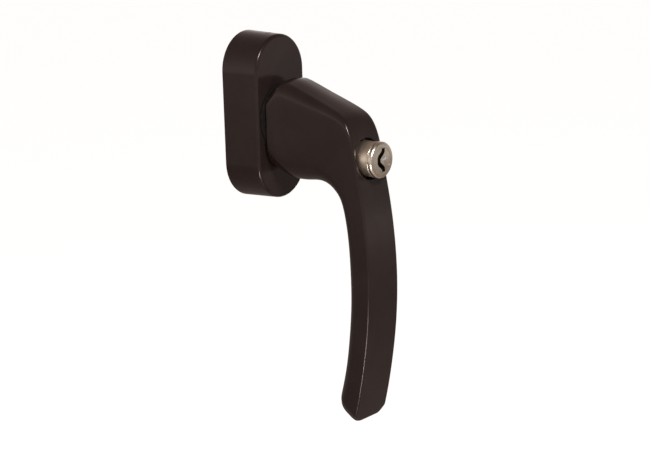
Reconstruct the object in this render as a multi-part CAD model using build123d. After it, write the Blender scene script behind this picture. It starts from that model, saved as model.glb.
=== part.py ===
# Locking window handle: a cast lever handle with a push cylinder lock, on an oval rosette.
# The frame has its origin on the spindle axis, at the rosette's back face.
# +Z is up, the sash lies on the +Y side, and the handle stands out towards -Y.
# Each piece is drawn with X to the right, Y up and Z away from the sash, and is turned at export.
from build123d import *
import math
import os

# Rosette
rosetteHeight = 67.0
rosetteWidth = 30.4
rosetteDepth = 17.1
rosetteDraft = 2.3
coverWall = 1.3
coverEdgeRadius = 1.3
coverGap = 0.2
pryNotchWidth = 2.4
pryNotchHeight = 0.9
pryNotchOut = 11.4

# Base plate
plateThickness = 5.0
plateRim = 1.6
platePocketDepth = 2.6
screwSpacing = 43.0
screwHoleRadius = 2.65
screwHeadRadius = 5.0
screwBossRadius = 6.4
camRadius = 5.0
camLength = 3.0
clipRecessRadius = 9.6
clipRecessDepth = 2.0
cupFloor = 1.5
cupRadius = 12.8
cupBore = 11.1
cupHeight = 13.4

# Detent and locking disc
detentSize = 13.8
detentCornerRadius = 9.2
detentHeight = 4.0
leafThickness = 0.8
leafHalfLength = 7.4
leafHeight = 3.6
lockDiscThickness = 2.5
lockPinCircle = 9.0
lockPinRadius = 1.3
lockPinHoleRadius = 1.45
washerThickness = 0.5
discLugWidth = 3.0
discLugDepth = 0.6
clipThickness = 0.8
clipRadius = 8.4

# Guide ring, the collar that shows between rosette and neck
collarHeight = 1.1
collarEdge = 0.4
collarLip = 0.5

# Handle casting
spindleSize = 7.0
spindlePlay = 0.05
socketDepth = 25.0
tailRadius = 6.0
tailFlat = 10.4
tailStart = 0.3
neckGap = 0.3
neckBaseWidth = 23.0
bendWidth = 16.5
gripEndWidth = 19.7
neckShoulderRadius = 8.0
faceEdgeRadius = 0.7
neckBellyRadius = 10.6
neckBaseEdge = 0.8
gripBackRadius = 6.6
gripEndDrop = 118.3
gripEndCornerRadius = 4.5
gripEndSlope = 37.0
gripEndEdge = 0.5
gripEndOut = 40.2

# Push cylinder lock, its depths measured from the start of the neck
lockDrop = 12.7
headReach = 48.5
headRadius = 7.1
headThickness = 2.8
headChamfer = 0.3
headGrooveReach = 47.2
headGrooveWidth = 0.4
headGrooveDepth = 0.3
shaftRingRadius = 6.75
shaftRingReach = 44.5
shaftRingWidth = 0.5
shaftRadius = 6.3
barrelReach = 23.5
pushTravel = 5.5
sleeveWall = 0.55
mouthRadius = 7.45
mouthReach = 38.7
boreReach = 13.0
plugRadius = 5.0
plugReach = 26.7
keywayHeight = 9.3
keywayWidth = 1.4
keywayBow = 2.0
keywayLean = 0.75
keywayStart = 3.5
guardPinRadius = 1.55
guardPinLength = 3.4
guardPinSide = 1.25
guardPinProud = 0.25
waferCount = 5
waferThickness = 1.0
waferPinGap = 2.2
waferGuardGap = 0.85
waferWidth = 6.4
waferWindowWidth = 3.8
waferWindowHeight = 6.2
waferLift = 0.4
plugPinRadius = 0.6
plugPinSetback = 2.0
springWire = 0.7
springTurns = 5
latchWidth = 2.6
latchThickness = 0.4
latchRise = 0.85
latchLength = 10.0
latchSetback = 2.0

# Clearances
runningGap = 0.05
slideGap = 0.05
looseGap = 0.15
faceGap = 0.1
cutOver = 1.0

# Levels along the depth, all worked out from the sizes above
floorFront = clipRecessDepth + cupFloor
detentBack = floorFront + faceGap
detentFront = detentBack + detentHeight
discBack = detentFront + 2 * faceGap
discFront = discBack + lockDiscThickness
washerBack = discFront + faceGap / 2
hubBack = washerBack + washerThickness
hubRadius = cupBore - 2 * runningGap
collarRadius = cupRadius + collarLip
collarFront = rosetteDepth + collarHeight
neckStart = collarFront + neckGap
gripEndFront = neckStart + gripEndOut
headFront = neckStart + headReach
barrelBack = neckStart + barrelReach
mouthFloor = neckStart + mouthReach
boreFloor = neckStart + boreReach
plugBack = neckStart + plugReach
pinTip = discBack - faceGap + pushTravel
headBack = headFront - headThickness
sleeveRadius = shaftRadius + slideGap + sleeveWall
guardPinBack = headFront + guardPinProud - guardPinLength
waferFirst = plugBack + plugPinSetback + plugPinRadius + waferPinGap
waferPitch = (guardPinBack - waferGuardGap - waferThickness - waferFirst) / (waferCount - 1)


def rod(radius, start, end, x=0.0, y=0.0):
    """A round bar along the depth, from one level to another."""
    bar = Cylinder(radius, end - start, align=(Align.CENTER, Align.CENTER, Align.MIN))
    return Pos(x, y, start) * bar


def slab(width, height, start, end, x=0.0, y=0.0):
    """A rectangular block along the depth, centred on x and y."""
    block = Box(width, height, end - start, align=(Align.CENTER, Align.CENTER, Align.MIN))
    return Pos(x, y, start) * block


def ovalPlate(width, height, start, end, taper=0.0):
    """A plate with full round ends, drafted by the given angle."""
    outline = Pos(0, 0, start) * Rot(0, 0, 90) * SlotOverall(height, width)
    return extrude(outline, end - start, taper=taper)


def roundPositions(radius, count, first=0.0):
    """Evenly spaced places on a circle."""
    turns = [math.radians(first + 360.0 * i / count) for i in range(count)]
    return [(radius * math.cos(turn), radius * math.sin(turn)) for turn in turns]


def basePlate():
    width = rosetteWidth - 2 * (coverWall + coverGap)
    height = rosetteHeight - 2 * (coverWall + coverGap)
    plate = ovalPlate(width, height, 0, plateThickness, rosetteDraft)
    pocketFloor = plateThickness - platePocketDepth
    rimmed = ovalPlate(width - 2 * plateRim, height - 2 * plateRim, pocketFloor, plateThickness + cutOver)
    kept = rod(cupRadius, 0, plateThickness + 2 * cutOver)
    for side in (-1, 1):
        kept += rod(screwBossRadius, 0, plateThickness + 2 * cutOver, 0, side * screwSpacing / 2)
        kept += slab(plateRim, rosetteHeight / 2, 0, plateThickness + 2 * cutOver, 0, side * rosetteHeight / 4)
    plate -= rimmed - kept
    plate += rod(cupRadius, 0, cupHeight)
    plate -= rod(cupBore, floorFront, cupHeight + cutOver)
    plate -= rod(clipRecessRadius, -cutOver, clipRecessDepth)
    plate -= rod(tailRadius + looseGap, 0, floorFront + cutOver)
    for side in (-1, 1):
        spot = side * screwSpacing / 2
        plate += rod(camRadius, -camLength, 0, 0, spot)
        plate -= rod(screwHoleRadius, -camLength - cutOver, plateThickness + cutOver, 0, spot)
        sink = screwHeadRadius - screwHoleRadius
        cone = Cone(screwHoleRadius, screwHeadRadius, sink, align=(Align.CENTER, Align.CENTER, Align.MAX))
        plate -= Pos(0, spot, plateThickness) * cone
        slot = slab(discLugWidth, discLugDepth + cutOver, discBack - faceGap, cupHeight + cutOver,
                    0, side * (cupBore + (discLugDepth - cutOver) / 2))
        plate -= slot
    return plate


def rosetteCover():
    cover = ovalPlate(rosetteWidth, rosetteHeight, 0, rosetteDepth, rosetteDraft)
    frontEdges = cover.faces().sort_by(Axis.Z)[-1].edges()
    cover = fillet(frontEdges, coverEdgeRadius)
    inside = ovalPlate(rosetteWidth - 2 * coverWall, rosetteHeight - 2 * coverWall,
                       0, rosetteDepth - coverWall, rosetteDraft)
    cover -= inside
    cover -= rod(cupRadius + looseGap, 0, rosetteDepth + cutOver)
    notch = slab(pryNotchWidth, 2 * coverWall, pryNotchOut, pryNotchOut + pryNotchHeight, 0, rosetteHeight / 2)
    cover -= notch
    return cover


def guideRing():
    spigot = rod(cupRadius, cupHeight + faceGap, rosetteDepth + faceGap)
    flange = rod(collarRadius, rosetteDepth + faceGap / 2, collarFront)
    flange = chamfer(flange.faces().sort_by(Axis.Z)[-1].edges(), collarEdge)
    return spigot + flange - rod(hubRadius + runningGap, 0, neckStart)


def lockingDisc():
    disc = rod(cupBore - runningGap, discBack, discFront)
    for side in (-1, 1):
        lug = slab(discLugWidth - 2 * runningGap, discLugDepth + cutOver, discBack, discFront,
                   0, side * (cupBore + (discLugDepth - cutOver) / 2 - runningGap))
        disc += lug
    disc -= rod(tailRadius + looseGap, 0, discFront + cutOver)
    for x, y in roundPositions(lockPinCircle, 4):
        disc -= rod(lockPinHoleRadius, 0, discFront + cutOver, x, y)
    return disc


def tailBlank(start, end, grow=0.0):
    return rod(tailRadius + grow, start, end) & slab(tailFlat + 2 * grow, 4 * tailRadius, start, end)


def detentCam():
    cam = slab(detentSize, detentSize, detentBack, detentFront)
    cam &= rod(detentCornerRadius, detentBack, detentFront)
    return cam - tailBlank(0, detentFront + cutOver)


def detentLeaf(side):
    start = detentBack + (detentHeight - leafHeight) / 2
    inner = detentSize / 2 + runningGap
    strip = slab(leafThickness, 2 * leafHalfLength, start, start + leafHeight, inner + leafThickness / 2)
    for end in (-1, 1):
        reach = math.sqrt((cupBore - runningGap) ** 2 - leafHalfLength ** 2) - inner
        strip += slab(reach, leafThickness, start, start + leafHeight,
                      inner + reach / 2, end * (leafHalfLength - leafThickness / 2))
    return strip if side > 0 else mirror(strip, Plane.YZ)


def thrustWasher():
    washer = rod(hubRadius - faceGap, washerBack, hubBack)
    washer -= rod(tailRadius, 0, hubBack + cutOver)
    return washer - rod(lockPinHoleRadius, 0, hubBack + cutOver, 0, -lockPinCircle)


def clipGroove():
    start = clipRecessDepth - faceGap - clipThickness
    return start, clipRecessDepth - faceGap


def retainingClip():
    start, end = clipGroove()
    clip = rod(clipRadius, start, end) - rod(tailRadius - clipThickness / 2, 0, plateThickness)
    gap = slab(tailRadius, clipRadius, 0, plateThickness, 0, clipRadius)
    return clip - gap


# Stations of the handle: a point on the outer line (top of the neck, face of the grip) and the
# matching point on the inner line (belly of the neck, back of the grip). Each is the distance out
# from the start of the neck and the height.
handleStations = [
    ((0.0, 10.9), (0.0, -20.2)),
    ((2.6, 13.0), (2.4, -21.3)),
    ((4.4, 14.6), (4.0, -22.1)),
    ((6.2, 15.4), (5.6, -22.9)),
    ((11.5, 13.8), (8.8, -23.7)),
    ((18.5, 11.1), (13.3, -23.8)),
    ((25.5, 8.5), (17.8, -23.3)),
    ((31.7, 6.0), (21.7, -23.2)),
    ((36.8, 3.4), (25.5, -24.2)),
    ((39.6, -1.0), (28.8, -26.5)),
    ((41.7, -7.0), (31.6, -30.0)),
    ((43.4, -16.0), (33.1, -34.5)),
    ((45.3, -26.5), (34.2, -40.2)),
    ((46.9, -38.5), (35.1, -48.0)),
    ((48.1, -52.5), (35.4, -58.0)),
    ((48.2, -67.0), (35.5, -70.0)),
    ((47.1, -81.5), (34.5, -82.5)),
    ((45.0, -95.5), (32.7, -95.0)),
    ((42.4, -108.5), (30.2, -106.5)),
    ((38.8, -122.0), (26.5, -119.5)),
]
bendStation = 9
gripStation = 11
endStation = len(handleStations) - 1


def eased(first, last, share):
    """A value between two others that leaves the first and meets the last without a kink."""
    share = min(1, max(0, share))
    return first + (last - first) * share * share * (3 - 2 * share)


def widthAt(station):
    """The neck narrows towards the bend, and the grip widens towards its end."""
    neckWidth = eased(neckBaseWidth, bendWidth, station / (bendStation - 1))
    grown = max(0, (station - bendStation) / (endStation - bendStation))
    return neckWidth + (gripEndWidth - bendWidth) * grown


def shoulderAt(station):
    """Corner radius along the outer line, which shrinks evenly until the grip starts."""
    share = min(1, station / (gripStation - 1))
    return neckShoulderRadius + (faceEdgeRadius - neckShoulderRadius) * share


def bellyAt(station):
    """Corner radius along the inner line."""
    return eased(neckBellyRadius, gripBackRadius, station / bendStation)


def handleSection(station):
    front, back = handleStations[station]
    frontPoint = Vector(0, front[1], neckStart + front[0])
    backPoint = Vector(0, back[1], neckStart + back[0])
    across = frontPoint - backPoint
    plane = Plane(origin=(frontPoint + backPoint) / 2, x_dir=(1, 0, 0),
                  z_dir=Vector(1, 0, 0).cross(across.normalized()))
    halfDepth = across.length / 2
    halfWidth = widthAt(station) / 2
    faceRadius, backRadius = shoulderAt(station), bellyAt(station)
    outline = FilletPolyline((-halfWidth, halfDepth), (halfWidth, halfDepth),
                             (halfWidth, -halfDepth), (-halfWidth, -halfDepth),
                             radius=[faceRadius, faceRadius, backRadius, backRadius], close=True)
    return plane * make_face(outline)


def neckBody():
    """The neck with its bend, rounded along the edge that faces the rosette."""
    neck = loft([handleSection(i) for i in range(gripStation + 1)])
    return fillet(neck.faces().sort_by(Axis.Z)[0].edges(), neckBaseEdge)


def gripBody():
    """The grip below the bend, with its slanted end cut and softened."""
    grip = loft([handleSection(i) for i in range(gripStation, endStation + 1)])
    outline = RectangleRounded(gripEndWidth + gripEndEdge, 2 * gripEndDrop, gripEndCornerRadius,
                               align=(Align.CENTER, Align.MIN))
    grip &= extrude(Pos(0, -gripEndDrop, 0) * outline, 2 * headFront)
    block = Box(4 * gripEndWidth, gripEndDrop, 4 * headFront)
    below = Pos(0, -gripEndDrop, gripEndFront) * Rot(gripEndSlope, 0, 0) * Pos(0, -gripEndDrop / 2, 0)
    grip -= below * block
    return fillet(grip.faces().sort_by(Axis.Y)[0].edges(), gripEndEdge)


def driveTail():
    """The tail pressed into the neck, with the square socket for the spindle."""
    tail = tailBlank(tailStart, hubBack) + rod(tailRadius, hubBack, socketDepth)
    start, end = clipGroove()
    tail -= rod(tailRadius + cutOver, start, end) - rod(tailRadius - clipThickness / 2, 0, plateThickness)
    socket = spindleSize + spindlePlay
    return tail - slab(socket, socket, 0, socketDepth + cutOver)


def mouth():
    return rod(mouthRadius, mouthFloor, headFront + cutOver, 0, -lockDrop)


def handle():
    neck = neckBody() + rod(hubRadius, hubBack, neckStart)
    neck -= rod(tailRadius, 0, socketDepth)
    neck -= rod(lockPinRadius + looseGap, 0, boreFloor, 0, -lockPinCircle)
    neck -= rod(sleeveRadius, boreFloor, headFront, 0, -lockDrop)
    return neck - mouth() + (gripBody() - mouth())


def lockSleeve():
    sleeve = rod(sleeveRadius, boreFloor, mouthFloor, 0, -lockDrop)
    sleeve -= rod(shaftRadius + slideGap, 0, headFront, 0, -lockDrop)
    for shift in (0.0, pushTravel):
        nose = latchNose() - shift
        sleeve -= slab(latchWidth + 2 * looseGap, 4 * latchRise, nose - looseGap, nose + latchWidth,
                       0, -lockDrop - shaftRadius)
    return sleeve


def latchNose():
    return plugBack + latchSetback


def lockBarrel():
    barrel = rod(shaftRadius, barrelBack, headBack + headChamfer, 0, -lockDrop)
    head = rod(headRadius, headBack, headFront, 0, -lockDrop)
    head = chamfer(head.faces().sort_by(Axis.Z)[-1].edges(), headChamfer)
    grooveBack = neckStart + headGrooveReach
    groove = rod(headRadius + cutOver, grooveBack, grooveBack + headGrooveWidth, 0, -lockDrop)
    head -= groove - rod(headRadius - headGrooveDepth, headBack, headFront, 0, -lockDrop)
    ringBack = neckStart + shaftRingReach
    barrel += head + rod(shaftRingRadius, ringBack, ringBack + shaftRingWidth, 0, -lockDrop)
    barrel -= rod(plugRadius + runningGap, plugBack - faceGap, headFront + cutOver, 0, -lockDrop)
    barrel -= rod(lockPinRadius, barrelBack - cutOver, plugBack - 2 * faceGap, 0, -lockPinCircle)
    barrel -= crossPin(runningGap, cutOver)
    nose = latchNose()
    depth = shaftRadius - latchLevel() + latchThickness / 2
    barrel -= slab(latchWidth + 2 * looseGap, 2 * depth, nose - looseGap,
                   nose + latchLength + looseGap, 0, -lockDrop - shaftRadius)
    return barrel


def crossPin(grow=0.0, extra=0.0):
    """The pin that holds the plug in the barrel, lying across its top in the plug's groove."""
    rise = plugRadius - plugPinRadius / 2
    halfLength = math.sqrt(shaftRadius ** 2 - (rise + plugPinRadius) ** 2)
    pin = Rot(0, 90, 0) * Cylinder(plugPinRadius + grow, 2 * (halfLength + extra))
    return Pos(0, -lockDrop + rise, plugBack + plugPinSetback) * pin


def keyway():
    reach = keywayHeight / 2 - keywayWidth / 2
    path = Spline((keywayLean, reach), (-keywayBow, 0), (keywayLean, -reach))
    slot = trace(path, keywayWidth)
    return Pos(0, -lockDrop, plugBack + keywayStart) * extrude(slot, headFront)


def waferSlot(number, grow):
    start = waferFirst + number * waferPitch
    return slab(waferWidth + 2 * grow, 4 * plugRadius, start - grow, start + waferThickness + grow, 0, -lockDrop)


def keyPlug():
    plug = rod(plugRadius, plugBack, headFront - faceGap, 0, -lockDrop)
    groove = rod(plugRadius + cutOver, plugBack + plugPinSetback - plugPinRadius - faceGap,
                 plugBack + plugPinSetback + plugPinRadius + faceGap, 0, -lockDrop)
    plug -= groove - rod(plugRadius - 2 * plugPinRadius + faceGap, 0, headFront, 0, -lockDrop)
    for number in range(waferCount):
        plug -= waferSlot(number, runningGap)
    plug -= rod(guardPinRadius, guardPinBack, headFront + cutOver, guardPinSide, -lockDrop)
    return plug - keyway()


def guardPin():
    """The hard pin beside the keyway that wears a drill out, with a domed end."""
    pin = rod(guardPinRadius, guardPinBack, headFront + guardPinProud, guardPinSide, -lockDrop)
    return fillet(pin.faces().sort_by(Axis.Z)[-1].edges(), guardPinRadius / 2)


def wafer(number):
    blank = waferSlot(number, 0.0) & rod(plugRadius, 0, headFront, 0, -lockDrop)
    lift = waferLift if number % 2 else -waferLift
    window = slab(waferWindowWidth, waferWindowHeight, 0, headFront, -keywayBow / 3, -lockDrop + lift)
    return blank - window


def lockingPin():
    pin = rod(lockPinRadius, pinTip, plugBack - 2 * faceGap, 0, -lockPinCircle)
    return chamfer(pin.faces().sort_by(Axis.Z)[0].edges(), lockPinRadius / 4)


def returnSpring():
    length = barrelBack - boreFloor - springWire
    radius = shaftRadius - springWire - looseGap
    path = Helix(length / springTurns, length, radius)
    profile = Plane(path @ 0, z_dir=path % 0) * RegularPolygon(springWire / 2, 6)
    return Pos(0, -lockDrop, boreFloor + springWire / 2) * sweep(profile, path)


def latchLevel():
    """Depth of the leaf below the lock's axis, with its corners just inside the barrel's round."""
    return math.sqrt(shaftRadius ** 2 - (latchWidth / 2) ** 2) - latchThickness / 2


def latchSpring():
    nose = latchNose()
    level = -lockDrop - latchLevel()
    strip = slab(latchWidth, latchThickness, nose, nose + latchLength, 0, level)
    return strip + slab(latchWidth, latchRise, nose, nose + latchThickness * 2, 0, level - latchRise / 2)


pieces = {
    "base_plate": basePlate(),
    "rosette_cover": rosetteCover(),
    "guide_ring": guideRing(),
    "locking_disc": lockingDisc(),
    "detent_cam": detentCam(),
    "detent_leaf_left": detentLeaf(-1),
    "detent_leaf_right": detentLeaf(1),
    "thrust_washer": thrustWasher(),
    "retaining_clip": retainingClip(),
    "handle": handle(),
    "drive_tail": driveTail(),
    "lock_sleeve": lockSleeve(),
    "lock_barrel": lockBarrel(),
    "plug_pin": crossPin(),
    "key_plug": keyPlug(),
    "guard_pin": guardPin(),
    "locking_pin": lockingPin(),
    "return_spring": returnSpring(),
    "latch_spring": latchSpring(),
}
for number in range(waferCount):
    pieces[f"wafer_{number + 1}"] = wafer(number)

os.makedirs("parts", exist_ok=True)
for name, piece in pieces.items():
    export_step(Rot(90, 0, 0) * piece, f"parts/{name}.step")
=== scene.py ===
import bpy
import bmesh
import math
from mathutils import Matrix, Vector


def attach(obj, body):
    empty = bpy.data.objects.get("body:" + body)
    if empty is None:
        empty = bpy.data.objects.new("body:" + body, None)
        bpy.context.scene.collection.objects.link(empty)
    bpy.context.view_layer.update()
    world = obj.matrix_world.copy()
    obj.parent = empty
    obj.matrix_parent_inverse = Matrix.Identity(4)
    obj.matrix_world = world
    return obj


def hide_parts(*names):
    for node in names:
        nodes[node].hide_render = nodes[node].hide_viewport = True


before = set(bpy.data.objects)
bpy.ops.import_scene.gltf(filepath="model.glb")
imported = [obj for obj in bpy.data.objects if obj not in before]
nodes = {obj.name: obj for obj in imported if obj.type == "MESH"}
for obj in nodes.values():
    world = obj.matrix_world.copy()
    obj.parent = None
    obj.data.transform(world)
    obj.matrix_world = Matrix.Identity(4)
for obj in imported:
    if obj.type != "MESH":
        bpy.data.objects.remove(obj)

# Locking window handle, dressed for the render. Lengths in the dictionaries are millimetres,
# and the axes are those of the CAD frame: -Y out of the sash, +Z up.
mm = 0.001
weld = 0.00001               # metres: places nearer than this count as one
cutterEnd = 75               # how far out the cutters reach, past every front face
scene = bpy.context.scene
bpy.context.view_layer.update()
print("frame loaded:", len(nodes), "nodes")


# Small helpers for meshes

def toObject(bm, name):
    mesh = bpy.data.meshes.new(name)
    bm.to_mesh(mesh)
    bm.free()
    obj = bpy.data.objects.new(name, mesh)
    scene.collection.objects.link(obj)
    return obj


def bakeModifiers(obj):
    bpy.context.view_layer.update()
    graph = bpy.context.evaluated_depsgraph_get()
    old = obj.data
    obj.data = bpy.data.meshes.new_from_object(obj.evaluated_get(graph))
    obj.modifiers.clear()
    bpy.data.meshes.remove(old)
    obj.data.name = obj.name
    return obj


def smoothByAngle(obj, degrees=32):
    obj.data.polygons.foreach_set("use_smooth", [True] * len(obj.data.polygons))
    obj.data.set_sharp_from_angle(angle=math.radians(degrees))


def subtract(obj, cutter):
    cut = obj.modifiers.new("cut", "BOOLEAN")
    cut.operation = "DIFFERENCE"
    cut.solver = "EXACT"
    cut.object = cutter
    bakeModifiers(obj)
    bpy.data.objects.remove(cutter)


def spun(profile, high=0.0, steps=96):
    # profile: (radius, distance out) in mm, turned about an axis along Y at x 0 and this height
    bm = bmesh.new()
    verts = [bm.verts.new((radius * mm, -out * mm, high * mm)) for radius, out in profile]
    edges = [bm.edges.new(pair) for pair in zip(verts, verts[1:])]
    bmesh.ops.spin(bm, geom=verts + edges, cent=(0, 0, high * mm), axis=(0, 1, 0), angle=math.tau,
                   steps=steps, use_merge=True, use_duplicate=False)
    bmesh.ops.remove_doubles(bm, verts=bm.verts, dist=weld / 5)
    bmesh.ops.recalc_face_normals(bm, faces=bm.faces)
    return bm


def cutAndRound(bm, point, outward, radius, steps=6):
    # cuts the mesh short of a plane, closes it, and steps the closing face out to it in a quarter round
    outward = Vector(outward).normalized()
    geom = bm.verts[:] + bm.edges[:] + bm.faces[:]
    bmesh.ops.bisect_plane(bm, geom=geom, dist=weld / 10, plane_co=point - outward * radius,
                           plane_no=outward, clear_outer=True)
    near = [edge for edge in bm.edges if edge.is_boundary
            and all(abs((v.co - point).dot(outward) + radius) < weld for v in edge.verts)]
    cap = bmesh.ops.holes_fill(bm, edges=near, sides=0)["faces"]
    bmesh.ops.recalc_face_normals(bm, faces=bm.faces)
    across = Vector((1, 0, 0))
    flat = Matrix((across, outward.cross(across), outward)).to_4x4()
    for step in range(steps):
        first, second = (math.pi / 2 * k / steps for k in (step, step + 1))
        geom = bmesh.ops.extrude_face_region(bm, geom=cap)["geom"]
        bmesh.ops.delete(bm, geom=cap, context="FACES_ONLY")
        cap = [face for face in geom if isinstance(face, bmesh.types.BMFace)]
        verts = [v for v in geom if isinstance(v, bmesh.types.BMVert)]
        bmesh.ops.translate(bm, vec=outward * radius * (math.sin(second) - math.sin(first)), verts=verts)
        places = [flat @ v.co for v in verts]
        ends = [(min(place[k] for place in places), max(place[k] for place in places)) for k in (0, 1)]
        inset = radius * (math.cos(first) - math.cos(second))
        size = [1 - 2 * inset / (high - low) for low, high in ends]
        middle = Vector((sum(ends[0]) / 2, sum(ends[1]) / 2, 0))
        bmesh.ops.scale(bm, vec=(*size, 1), space=Matrix.Translation(-middle) @ flat, verts=verts)


def sharpLoop(bm, test, angle=0.5):
    # edges whose two faces meet sharply (angle in radians) and whose ends pass the test
    return [edge for edge in bm.edges if len(edge.link_faces) == 2
            and edge.calc_face_angle(0) > angle and all(test(v.co / mm) for v in edge.verts)]


# The handle: one casting of neck, bend and grip

handleLook = {
    "neckStart": 18.5,
    "stations": [  # (distance out, height) on the outer line, then on the inner line
        ((0.0, 10.9), (0.0, -20.2)), ((2.6, 13.0), (2.4, -21.3)), ((4.4, 14.6), (4.0, -22.1)),
        ((6.2, 15.4), (5.6, -22.9)), ((11.5, 13.8), (8.8, -23.7)), ((18.5, 11.1), (13.3, -23.8)),
        ((25.5, 8.5), (17.8, -23.3)), ((31.7, 6.0), (21.7, -23.2)), ((36.4, 3.3), (25.7, -24.2)),
        ((39.0, -1.0), (29.2, -26.5)), ((41.0, -7.0), (32.3, -30.0)), ((42.7, -16.0), (33.9, -34.5)),
        ((44.8, -26.5), (34.8, -40.2)), ((46.6, -38.5), (35.5, -48.0)), ((47.8, -52.5), (35.8, -58.0)),
        ((47.9, -67.0), (35.8, -70.0)), ((46.8, -81.5), (34.7, -82.5)), ((44.7, -95.5), (33.0, -95.0)),
        ((42.1, -108.5), (30.3, -106.5)), ((38.6, -122.0), (26.6, -119.5)),
    ],
    "bend": 9,                       # number of the station at the bend
    "grip": 11,                      # and of the first one of the grip
    "widths": (23.0, 17.8, 19.7),    # at the base, the bend and the end
    # corner radius along the outer line, station by station, and the last one for all of the grip
    "shoulders": (5.8, 5.8, 5.6, 5.4, 5.0, 4.3, 3.5, 2.9, 2.2, 1.1, 0.85),
    "cornerSegments": 8,
    "crown": (0.75, 6, 11),          # raises the strip on top, in full up to one station, gone at the other
    "bellies": (10.6, 6.6),          # corner radius along the inner line, at the base and past the bend
    "endFront": (58.7, -119.4),      # distance out and height of a point in the plane of the grip's end
    "endSlope": 35.0,                # degrees
    "endCorner": 4.4,                # how round the end's corners are, seen from the front
    "endFrontCorner": 4.0,           # and its two front ones, seen from below
    "endEdge": 1.1,
    "baseEdge": 0.4,
    "mouthRadius": 8.05,             # of the wide, shallow opening in front of the bore
    "mouthFloor": 57.2,
    "mouthRim": 0.35,
    "mouthRimSegments": 3,
    "boreRadius": 6.92,
    "boreFloor": 31.5,
    "lockHeight": -12.7,
}


def eased(first, last, share):
    share = min(1, max(0, share))
    return first + (last - first) * share * share * (3 - 2 * share)


def sizesAt(station, look):
    # width, shoulder radius, belly radius and crown of the casting at a station
    bend, grip, last = look["bend"], look["grip"], len(look["stations"]) - 1
    base, middle, end = look["widths"]
    width = eased(base, middle, station / (bend - 1))
    width += (end - middle) * max(0, (station - bend) / (last - bend))
    shoulder = look["shoulders"][min(station, grip - 1)]
    high, full, gone = look["crown"]
    crown = high * max(0, min(1, (gone - station) / (gone - full)))
    return width, shoulder, eased(*look["bellies"], station / bend), crown


def tightened(stations):
    # subdivision pulls a bent line inwards, so each station but the first and last is moved out by as much
    places = [Vector((*outer, *inner)) for outer, inner in stations]
    inside = [b + (2 * b - a - c) / 6 for a, b, c in zip(places, places[1:], places[2:])]
    return [places[0], *inside, places[-1]]


def addSection(bm, station, place, look):
    # one rounded outline across the casting, handed back as its ring of edges
    outer = Vector((0, -(look["neckStart"] + place[0]), place[1])) * mm
    inner = Vector((0, -(look["neckStart"] + place[2]), place[3])) * mm
    width, shoulder, belly, crown = sizesAt(station, look)
    before = set(bm.verts)
    corners = bmesh.ops.create_grid(bm, x_segments=1, y_segments=1, size=1)["verts"]
    bmesh.ops.scale(bm, vec=(width * mm / 2, (outer - inner).length / 2, 1), verts=corners)
    for side, radius in ((1, shoulder), (-1, belly)):
        pair = [v for v in corners if v.is_valid and v.co.y * side > 0]
        bmesh.ops.bevel(bm, geom=pair, affect="VERTICES", segments=look["cornerSegments"], profile=0.5,
                        material=-1, clamp_overlap=False, offset=radius * mm)
    top = max({edge for v in bm.verts if v not in before for edge in v.link_edges},
              key=lambda edge: sum(v.co.y for v in edge.verts))
    ridge = bmesh.utils.edge_split(top, top.verts[0], 0.5)[1]
    ridge.co.y += crown * mm
    made = [v for v in bm.verts if v not in before]
    up = (outer - inner).normalized()
    turn = Matrix((Vector((1, 0, 0)), up, Vector((1, 0, 0)).cross(up))).transposed().to_4x4()
    turn.translation = (outer + inner) / 2
    bmesh.ops.transform(bm, matrix=turn, verts=made)
    ring = {edge for v in made for edge in v.link_edges}
    bmesh.ops.delete(bm, geom=list({face for v in made for face in v.link_faces}), context="FACES_ONLY")
    return list(ring)


def roundEndCorners(bm, look, corner, outward, steps=9):
    # narrows the grip in a quarter circle towards the plane of its end, on edge loops cut for it
    radius = look["endCorner"]
    for step in range(1, steps + 1):
        inside = radius * (1 - math.cos(math.pi / 2 * step / steps)) * mm
        bmesh.ops.bisect_plane(bm, geom=bm.verts[:] + bm.edges[:] + bm.faces[:], dist=weld / 10,
                               plane_co=corner - outward * inside, plane_no=outward)
    firstOut, firstHigh = look["stations"][-2][0]
    lastOut, lastHigh = look["stations"][-1][0]
    foot = Vector((0, -look["neckStart"] - lastOut, lastHigh)) * mm
    behind = Vector((0, firstHigh - lastHigh, firstOut - lastOut)).normalized()
    half = look["widths"][2] / 2
    for v in bm.verts:
        inside = (corner - v.co).dot(outward) / mm
        if inside < radius:
            drop = radius - max(0, inside)
            limit = half - radius + math.sqrt(radius ** 2 - drop ** 2)
            v.co.x *= limit / half
            # the front corners grow round as well
            bow = look["endFrontCorner"] * drop / radius
            across = abs(v.co.x) / mm - limit + bow
            deep = bow - (v.co - foot).dot(behind) / mm
            reach = math.hypot(across, deep)
            if across > 0 and deep > 0 and reach > bow:
                v.co.x = math.copysign((limit - bow + across * bow / reach) * mm, v.co.x)
                v.co += behind * deep * (1 - bow / reach) * mm
    bmesh.ops.remove_doubles(bm, verts=bm.verts, dist=weld)


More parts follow.
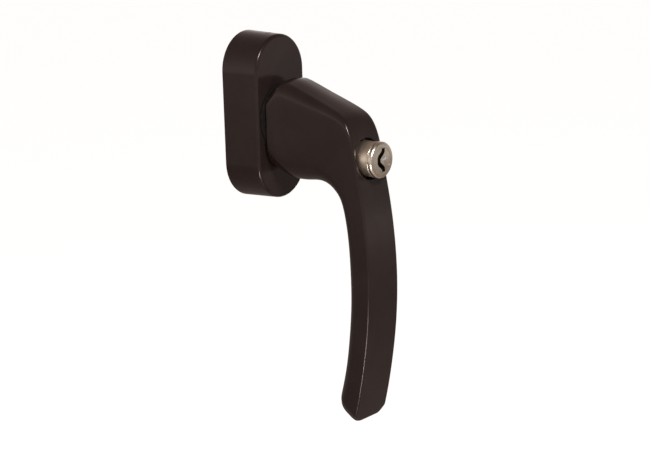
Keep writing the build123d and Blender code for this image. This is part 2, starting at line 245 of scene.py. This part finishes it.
def makeHandle(look):
    bm = bmesh.new()
    places = enumerate(tightened(look["stations"]))
    rings = [addSection(bm, station, place, look) for station, place in places]
    for first, second in zip(rings, rings[1:]):
        bmesh.ops.bridge_loops(bm, edges=first + second)
    bmesh.ops.recalc_face_normals(bm, faces=bm.faces)
    obj = toObject(bm, "handleBody")
    smooth = obj.modifiers.new("smooth", "SUBSURF")
    smooth.levels = smooth.render_levels = 2
    bakeModifiers(obj)

    slope = math.radians(look["endSlope"])
    corner = Vector((0, -look["endFront"][0], look["endFront"][1])) * mm
    endward = Vector((0, math.sin(slope), -math.cos(slope)))
    bm = bmesh.new()
    bm.from_mesh(obj.data)
    roundEndCorners(bm, look, corner, endward)
    bmesh.ops.holes_fill(bm, edges=[edge for edge in bm.edges if edge.is_boundary], sides=0)
    bmesh.ops.recalc_face_normals(bm, faces=bm.faces)
    bm.to_mesh(obj.data)
    bm.free()

    high, boreFloor, mouthFloor = look["lockHeight"], look["boreFloor"], look["mouthFloor"]
    bore, mouth = look["boreRadius"], look["mouthRadius"]
    subtract(obj, toObject(spun([(0, boreFloor), (bore, boreFloor), (bore, mouthFloor), (mouth, mouthFloor),
                                 (mouth, cutterEnd), (0, cutterEnd)], high), "boreCutter"))
    bm = bmesh.new()
    bm.from_mesh(obj.data)
    # the mouth's outer rim: in front of its floor, and on its radius
    rim = sharpLoop(bm, lambda p: p.y < -mouthFloor - 0.5 and abs(math.hypot(p.x, p.z - high) - mouth) < 0.05)
    bmesh.ops.bevel(bm, geom=rim, affect="EDGES", segments=look["mouthRimSegments"], profile=0.5, material=-1,
                    offset=look["mouthRim"] * mm, clamp_overlap=True)
    cutAndRound(bm, Vector((0, -look["neckStart"], 0)) * mm, (0, 1, 0), look["baseEdge"] * mm)
    cutAndRound(bm, corner, endward, look["endEdge"] * mm)
    bm.to_mesh(obj.data)
    bm.free()
    smoothByAngle(obj)
    return obj


handleBody = makeHandle(handleLook)
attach(handleBody, "lever")
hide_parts("handle")
print("handle made:", len(handleBody.data.polygons), "faces")


# The push cylinder: barrel with its head, and the plug with keyway and guard pin

barrelLook = {
    "height": -12.7,
    "profile": [
        (0, 42.0), (5.9, 42.0), (6.3, 42.4), (6.3, 57.6),         # the shaft in its sleeve
        (6.85, 57.8), (6.85, 64.2), (6.7, 64.28), (6.7, 64.4),    # its wide part and the groove
        (6.95, 64.46), (7.08, 64.56), (7.08, 64.96), (6.98, 65.06), (6.88, 65.12), (6.88, 65.24),
        (7.02, 65.32), (7.1, 65.44), (7.1, 66.4), (7.04, 66.54), (6.62, 66.92), (6.46, 67.0),
        (5.06, 67.0), (5.06, 45.1), (0, 45.1),                    # the room for the plug
    ],
    "steps": 128,
    "shaftFront": 64.3,        # the metal behind this is matt, and painted lighter and warmer than the head as painted light
}

sleeveLook = {
    "profile": [(6.35, 31.5), (6.9, 31.5), (6.9, 51.8), (6.35, 51.8), (6.35, 31.5)],
    "slots": ((41.55, 44.3), (47.05, 49.8)),    # back and front, where the latch spring catches
    "slotSize": (2.9, 3.4),
    "slotDrop": 6.3,                            # how far below the lock's axis they lie
}

plugLook = {
    "profile": [(0, 45.2), (4.8, 45.2), (5.0, 45.4), (5.0, 66.96), (4.96, 66.98), (0, 66.98)],
    "slotEnds": 0.75,          # how far right the keyway's ends lie
    "slotMiddle": -2.0,        # and its middle
    "slotReach": 4.6,
    "slotBow": (0.8, 0.15),    # the shares of the reach between which it bends over
    "slotSteps": 12,
    "slotWidth": 1.9,
    "slotFloor": 48.7,
    "paintedShadeWalls": (45.5, 66.7, 4.95),    # the keyway's walls, painted near black as shade, lie between these two depths, within this radius
    "pinPlace": (1.25, 0.0),
    "pin": [
        (0, 63.5), (1.5, 63.5), (1.55, 63.6), (1.55, 66.7), (1.46, 66.88), (1.2, 67.05), (0.8, 67.18),
        (0.4, 67.235), (0, 67.25),
    ],
}


def makeBarrel(look):
    obj = toObject(spun(look["profile"], look["height"], look["steps"]), "pushBarrel")
    smoothByAngle(obj, 50)
    return obj


def makeSleeve(look, height):
    obj = toObject(spun(look["profile"], height), "slideSleeve")
    for back, front in look["slots"]:
        bm = bmesh.new()
        cube = bmesh.ops.create_cube(bm, size=mm)["verts"]
        wide, high = look["slotSize"]
        bmesh.ops.scale(bm, vec=(wide, front - back, high), verts=cube)
        middle = Vector((0, -(back + front) / 2, height - look["slotDrop"]))
        bmesh.ops.translate(bm, vec=middle * mm, verts=cube)
        subtract(obj, toObject(bm, "slotCutter"))
    smoothByAngle(obj)
    return obj


def makePlug(look, height):
    obj = toObject(spun(look["profile"], height), "keyPlug")
    bm = bmesh.new()
    path = []
    steps, (outside, inside) = look["slotSteps"], look["slotBow"]
    for step in range(-steps, steps + 1):
        bend = eased(0, 1, (outside - abs(step) / steps) / (outside - inside))
        across = look["slotEnds"] + (look["slotMiddle"] - look["slotEnds"]) * bend
        up = look["slotReach"] * step / steps
        path.append(bm.verts.new(Vector((across, -cutterEnd, height + up)) * mm))
    edges = [bm.edges.new(pair) for pair in zip(path, path[1:])]
    swept = bmesh.ops.extrude_edge_only(bm, edges=edges)["geom"]
    bmesh.ops.translate(bm, vec=(0, (cutterEnd - look["slotFloor"]) * mm, 0),
                        verts=[v for v in swept if isinstance(v, bmesh.types.BMVert)])
    cutter = toObject(bm, "keywayCutter")
    wall = cutter.modifiers.new("wall", "SOLIDIFY")
    wall.thickness = look["slotWidth"] * mm
    wall.offset = 0
    wall.use_even_offset = True
    bakeModifiers(cutter)
    subtract(obj, cutter)
    smoothByAngle(obj, 40)
    return obj


def makeGuardPin(look, height):
    obj = toObject(spun(look["pin"], steps=48), "guardPin")
    across, up = look["pinPlace"]
    obj.data.transform(Matrix.Translation(Vector((across, 0, height + up)) * mm))
    smoothByAngle(obj, 50)
    return obj


pushBarrel = makeBarrel(barrelLook)
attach(pushBarrel, "push_cylinder")
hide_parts("lock_barrel")
slideSleeve = makeSleeve(sleeveLook, barrelLook["height"])
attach(slideSleeve, "lever")
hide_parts("lock_sleeve")
keyPlug = makePlug(plugLook, barrelLook["height"])
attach(keyPlug, "plug")
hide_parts("key_plug")
guardPin = makeGuardPin(plugLook, barrelLook["height"])
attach(guardPin, "plug")
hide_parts("guard_pin")
print("lock made")


# Materials

def startMaterial(name):
    material = bpy.data.materials.new(name)
    material.use_nodes = True
    tree = material.node_tree
    return material, tree, tree.nodes["Principled BSDF"]


def node(tree, kind, **values):
    made = tree.nodes.new(kind)
    for key, value in values.items():
        if key in made.inputs:
            made.inputs[key].default_value = value
        else:
            setattr(made, key, value)
    return made


def noiseOn(tree, scale, detail=3.0, roughness=0.5, squeeze=(1, 1, 1)):
    place = node(tree, "ShaderNodeTexCoord")
    mapping = node(tree, "ShaderNodeMapping", Scale=squeeze)
    noise = node(tree, "ShaderNodeTexNoise", Scale=scale, Detail=detail, Roughness=roughness)
    tree.links.new(place.outputs["Object"], mapping.inputs["Vector"])
    tree.links.new(mapping.outputs["Vector"], noise.inputs["Vector"])
    return noise.outputs["Fac"]


def ramp(tree, source, stops):
    made = node(tree, "ShaderNodeValToRGB")
    elements = made.color_ramp.elements
    for i, (place, colour) in enumerate(stops):
        stop = elements[i] if i < 2 else elements.new(place)
        stop.position = place
        stop.color = (*colour, 1) if isinstance(colour, tuple) else (colour, colour, colour, 1)
    tree.links.new(source, made.inputs["Fac"])
    return made.outputs["Color"]


def bumpOn(tree, shader, source, strength, distance):
    bump = node(tree, "ShaderNodeBump", Strength=strength, Distance=distance)
    tree.links.new(source, bump.inputs["Height"])
    tree.links.new(bump.outputs["Normal"], shader.inputs["Normal"])


lacquerLook = {
    "deep": (0.0165, 0.0105, 0.0092),
    "light": (0.0195, 0.0130, 0.0115),
    "ior": 1.37,
    "sheen": (1.0, 0.80, 0.74),
    "roughness": (0.17, 0.23),
}


def makeLacquer(look):
    material, tree, shader = startMaterial("brownLacquer")
    colour = ramp(tree, noiseOn(tree, 90, 4, 0.55), [(0.35, look["deep"]), (0.7, look["light"])])
    tree.links.new(colour, shader.inputs["Base Color"])
    low, high = look["roughness"]
    rough = ramp(tree, noiseOn(tree, 260, 3), [(0.3, low), (0.75, high)])
    tree.links.new(rough, shader.inputs["Roughness"])
    shader.inputs["IOR"].default_value = look["ior"]
    shader.inputs["Specular Tint"].default_value = (*look["sheen"], 1)
    bumpOn(tree, shader, noiseOn(tree, 900, 2, 0.4), 0.06, 0.00003)
    return material


def makeMetal(name, colours, roughness, scale, squeeze, bump):
    material, tree, shader = startMaterial(name)
    grain = noiseOn(tree, scale, 4, 0.6, squeeze)
    tree.links.new(ramp(tree, grain, [(0.3, colours[0]), (0.7, colours[1])]), shader.inputs["Base Color"])
    tree.links.new(ramp(tree, grain, [(0.25, roughness[0]), (0.8, roughness[1])]), shader.inputs["Roughness"])
    shader.inputs["Metallic"].default_value = 1.0
    bumpOn(tree, shader, grain, bump, 0.00002)
    return material


def makePlastic(name, colours, roughness, ior):
    material, tree, shader = startMaterial(name)
    colour = ramp(tree, noiseOn(tree, 400, 4), [(0.3, colours[0]), (0.7, colours[1])])
    tree.links.new(colour, shader.inputs["Base Color"])
    rough = ramp(tree, noiseOn(tree, 700, 2), [(0.3, roughness[0]), (0.7, roughness[1])])
    tree.links.new(rough, shader.inputs["Roughness"])
    shader.inputs["IOR"].default_value = ior
    bumpOn(tree, shader, noiseOn(tree, 1800, 2), 0.2, 0.00002)
    return material


# two colours, the range of roughness, then for metals the grain's scale, its stretch and its depth,
# and for plastics the index of refraction
plain, fine, turned = (1, 1, 1), (1, 6, 1), (1, 14, 1)
metalLooks = {
    "satinNickel": (((0.68, 0.59, 0.48), (0.78, 0.69, 0.57)), (0.28, 0.4), 700, plain, 0.05),
    "turnedNickel": (((0.62, 0.54, 0.44), (0.74, 0.66, 0.54)), (0.24, 0.34), 500, turned, 0.08),
    "polishedPin": (((0.86, 0.84, 0.80), (0.94, 0.92, 0.88)), (0.12, 0.18), 500, plain, 0.02),
    "zincCasting": (((0.40, 0.40, 0.41), (0.52, 0.52, 0.53)), (0.38, 0.55), 350, plain, 0.25),
    "platedSteel": (((0.48, 0.48, 0.47), (0.58, 0.57, 0.55)), (0.25, 0.38), 600, plain, 0.08),
    "springSteel": (((0.22, 0.22, 0.23), (0.32, 0.32, 0.33)), (0.24, 0.36), 800, fine, 0.06),
    "turnedBrass": (((0.60, 0.43, 0.19), (0.70, 0.52, 0.25)), (0.2, 0.32), 600, (1, 10, 1), 0.06),
    # painted light: a lighter, warmer copy of the turned nickel, rougher too, for the shaft to look lit
    "shaftNickelPaintedLight": (((0.76, 0.64, 0.50), (0.88, 0.76, 0.61)), (0.34, 0.46), 500, turned, 0.08),
    # painted shade: a near black metal for the keyway's walls, standing in for the shade inside the slot
    "keywayPaintedShade": (((0.03, 0.022, 0.017), (0.05, 0.038, 0.03)), (0.5, 0.6), 500, plain, 0.05),
}
plasticLooks = {
    "ringPlastic": (((0.008, 0.0065, 0.006), (0.012, 0.010, 0.009)), (0.8, 0.9), 1.12),
    "slidePlastic": (((0.62, 0.62, 0.59), (0.72, 0.72, 0.69)), (0.4, 0.5), 1.45),
}
materials = {"brownLacquer": makeLacquer(lacquerLook)}
materials.update({name: makeMetal(name, *look) for name, look in metalLooks.items()})
materials.update({name: makePlastic(name, *look) for name, look in plasticLooks.items()})

# the CAD nodes, of which the unnamed ones are the brass wafers
finishes = {
    "base_plate": "zincCasting", "rosette_cover": "brownLacquer", "guide_ring": "ringPlastic",
    "locking_disc": "platedSteel", "detent_cam": "platedSteel", "detent_leaf_left": "springSteel",
    "detent_leaf_right": "springSteel", "thrust_washer": "slidePlastic", "retaining_clip": "springSteel",
    "handle": "brownLacquer", "drive_tail": "platedSteel", "lock_sleeve": "turnedBrass",
    "lock_barrel": "turnedNickel", "plug_pin": "platedSteel", "key_plug": "satinNickel",
    "locking_pin": "platedSteel", "return_spring": "springSteel", "latch_spring": "springSteel",
    "guard_pin": "polishedPin",
}
for name, obj in nodes.items():
    finish = materials[finishes.get(name, "turnedBrass")]
    for place in obj.material_slots:
        place.material = finish
    if not obj.material_slots:
        obj.data.materials.append(finish)
dressed = (
    (handleBody, "brownLacquer"), (pushBarrel, "turnedNickel", "shaftNickelPaintedLight"),
    (keyPlug, "satinNickel", "keywayPaintedShade"), (guardPin, "polishedPin"), (slideSleeve, "turnedBrass"),
)
for obj, *names in dressed:
    obj.data.materials.clear()
    for name in names:
        obj.data.materials.append(materials[name])
# the shaft behind shaftFront takes the nickel painted lighter as painted light
for face in pushBarrel.data.polygons:
    face.material_index = int(-face.center.y / mm < barrelLook["shaftFront"])
# painted shade: faces on the keyway's walls take the near black second material, in place of the shade in the
# slot
back, front, radius = plugLook["paintedShadeWalls"]
for face in keyPlug.data.polygons:
    across, out, up = face.center.x / mm, -face.center.y / mm, face.center.z / mm - barrelLook["height"]
    face.material_index = int(back < out < front and math.hypot(across, up) < radius)
print("materials:", len(bpy.data.materials))


# Studio: camera, floor, world and lamps

cameraLook = {
    "distance": 700.0,
    "turn": (50.75, 13.4, 1.6),    # degrees to the left, up, and rolled
    "lens": 95.87,
    "sensor": 36.0,
    "aside": 29.3,
    "down": 46.3,
}


def makeCamera(look):
    azimuth, rise, roll = (math.radians(angle) for angle in look["turn"])
    right = Vector((math.cos(azimuth), -math.sin(azimuth), 0))
    back = Vector((-math.sin(azimuth) * math.cos(rise), -math.cos(azimuth) * math.cos(rise), math.sin(rise)))
    up = back.cross(right)
    data = bpy.data.cameras.new("camera")
    data.sensor_width = look["sensor"]
    data.lens = look["lens"]
    data.clip_start = 0.01
    camera = bpy.data.objects.new("camera", data)
    scene.collection.objects.link(camera)
    axisX = right * math.cos(roll) - up * math.sin(roll)
    axisY = right * math.sin(roll) + up * math.cos(roll)
    matrix = Matrix((axisX, axisY, back)).transposed().to_4x4()
    matrix.translation = (back * look["distance"] + right * look["aside"] - up * look["down"]) * mm
    camera.matrix_world = matrix
    scene.camera = camera


lampLooks = [  # name, place, what it points at, size, power
    ("keySoftbox", (-0.38, -0.80, 0.62), (0, -0.04, -0.04), (0.25, 0.25), 10),
    ("lowSoftbox", (-0.40, -0.34, -0.33), (0, -0.06, -0.10), (0.11, 0.14), 1.4),
]


def addLamp(name, place, target, size, power):
    data = bpy.data.lights.new(name, "AREA")
    data.shape = "RECTANGLE"
    data.size, data.size_y = size
    data.energy = power
    lamp = bpy.data.objects.new(name, data)
    lamp.location = place
    lamp.rotation_euler = (Vector(target) - Vector(place)).to_track_quat("-Z", "Y").to_euler()
    scene.collection.objects.link(lamp)


floorLook = {  # in metres
    "halfSize": 6.0,
    "height": -0.42,
    "paper": (0.5, 0.45, 0.425),
    "seenGlow": 0.88,
    "mirroredFrom": (1.0, 4.5),    # in reflections its glow grows between these distances from the middle
    "mirroredGlow": 0.65,
}


def makeFloor(look):
    bm = bmesh.new()
    bmesh.ops.create_grid(bm, x_segments=1, y_segments=1, size=look["halfSize"])
    bmesh.ops.translate(bm, vec=(0, 0, look["height"]), verts=bm.verts)
    floor = toObject(bm, "studioFloor")
    material, tree, shader = startMaterial("studioPaper")
    output = tree.nodes["Material Output"]
    tree.nodes.remove(shader)
    diffuse = node(tree, "ShaderNodeBsdfDiffuse", Color=(*look["paper"], 1))
    glow = node(tree, "ShaderNodeEmission", Color=(1, 1, 1, 1))
    add = node(tree, "ShaderNodeAddShader")
    path = node(tree, "ShaderNodeLightPath")
    # white to the camera; in reflections the far floor glows like the horizon, the near floor not at all
    place = node(tree, "ShaderNodeTexCoord")
    distance = node(tree, "ShaderNodeVectorMath", operation="LENGTH")
    far = node(tree, "ShaderNodeMapRange")
    far.inputs["From Min"].default_value, far.inputs["From Max"].default_value = look["mirroredFrom"]
    far.inputs["To Max"].default_value = look["mirroredGlow"]
    mirrored = node(tree, "ShaderNodeMath", operation="MULTIPLY")
    white = node(tree, "ShaderNodeMath", operation="MULTIPLY_ADD")
    white.inputs[1].default_value = look["seenGlow"]
    tree.links.new(place.outputs["Object"], distance.inputs[0])
    tree.links.new(distance.outputs["Value"], far.inputs["Value"])
    tree.links.new(far.outputs["Result"], mirrored.inputs[0])
    tree.links.new(path.outputs["Is Glossy Ray"], mirrored.inputs[1])
    tree.links.new(path.outputs["Is Camera Ray"], white.inputs[0])
    tree.links.new(mirrored.outputs[0], white.inputs[2])
    tree.links.new(white.outputs[0], glow.inputs["Strength"])
    tree.links.new(diffuse.outputs[0], add.inputs[0])
    tree.links.new(glow.outputs[0], add.inputs[1])
    tree.links.new(add.outputs[0], output.inputs["Surface"])
    floor.data.materials.append(material)


studioLook = {
    "sky": [  # colour by the sine of the height
        (0.0, (1.0, 0.97, 0.95)), (0.12, (0.95, 0.9, 0.87)), (0.35, (0.66, 0.57, 0.54)),
        (0.6, (0.42, 0.34, 0.32)), (0.85, (0.22, 0.17, 0.16)), (1.0, (0.18, 0.14, 0.13)),
    ],
    "front": (-0.5, 0.15, 0.35),  # towards the front, between these two places, it falls to this share
    "skyOnSurfaces": 0.95,        # how much of it lights plain surfaces
}


def makeWorld(look):
    world = bpy.data.worlds.new("studio")
    world.use_nodes = True
    scene.world = world
    tree = world.node_tree
    background = tree.nodes["Background"]
    direction = node(tree, "ShaderNodeTexCoord")
    parts = node(tree, "ShaderNodeSeparateXYZ")
    tree.links.new(direction.outputs["Generated"], parts.inputs[0])
    shade = ramp(tree, parts.outputs["Z"], look["sky"])
    depth = node(tree, "ShaderNodeMapRange", interpolation_type="SMOOTHSTEP")
    depth.inputs["From Min"].default_value, depth.inputs["From Max"].default_value = look["front"][:2]
    depth.inputs["To Min"].default_value = look["front"][2]
    tree.links.new(parts.outputs["Y"], depth.inputs["Value"])
    path = node(tree, "ShaderNodeLightPath")
    mirrored = node(tree, "ShaderNodeMath", operation="MAXIMUM")
    tree.links.new(path.outputs["Is Glossy Ray"], mirrored.inputs[0])
    tree.links.new(path.outputs["Is Transmission Ray"], mirrored.inputs[1])
    level = node(tree, "ShaderNodeMapRange")
    level.inputs["To Min"].default_value = look["skyOnSurfaces"]
    tree.links.new(mirrored.outputs[0], level.inputs["Value"])
    # the camera sees plain white, all else the sky
    strength = node(tree, "ShaderNodeMath", operation="MAXIMUM")
    lit = node(tree, "ShaderNodeMath", operation="MULTIPLY")
    tree.links.new(level.outputs["Result"], lit.inputs[0])
    tree.links.new(depth.outputs["Result"], lit.inputs[1])
    tree.links.new(path.outputs["Is Camera Ray"], strength.inputs[0])
    tree.links.new(lit.outputs[0], strength.inputs[1])
    seen = node(tree, "ShaderNodeMix", data_type="RGBA")
    seen.inputs["B"].default_value = (1, 1, 1, 1)
    tree.links.new(path.outputs["Is Camera Ray"], seen.inputs["Factor"])
    tree.links.new(shade, seen.inputs["A"])
    tree.links.new(seen.outputs["Result"], background.inputs["Color"])
    tree.links.new(strength.outputs[0], background.inputs["Strength"])


makeCamera(cameraLook)
makeFloor(floorLook)
makeWorld(studioLook)
for lamp in lampLooks:
    addLamp(*lamp)
scene.view_settings.view_transform = "Standard"
print("studio set")
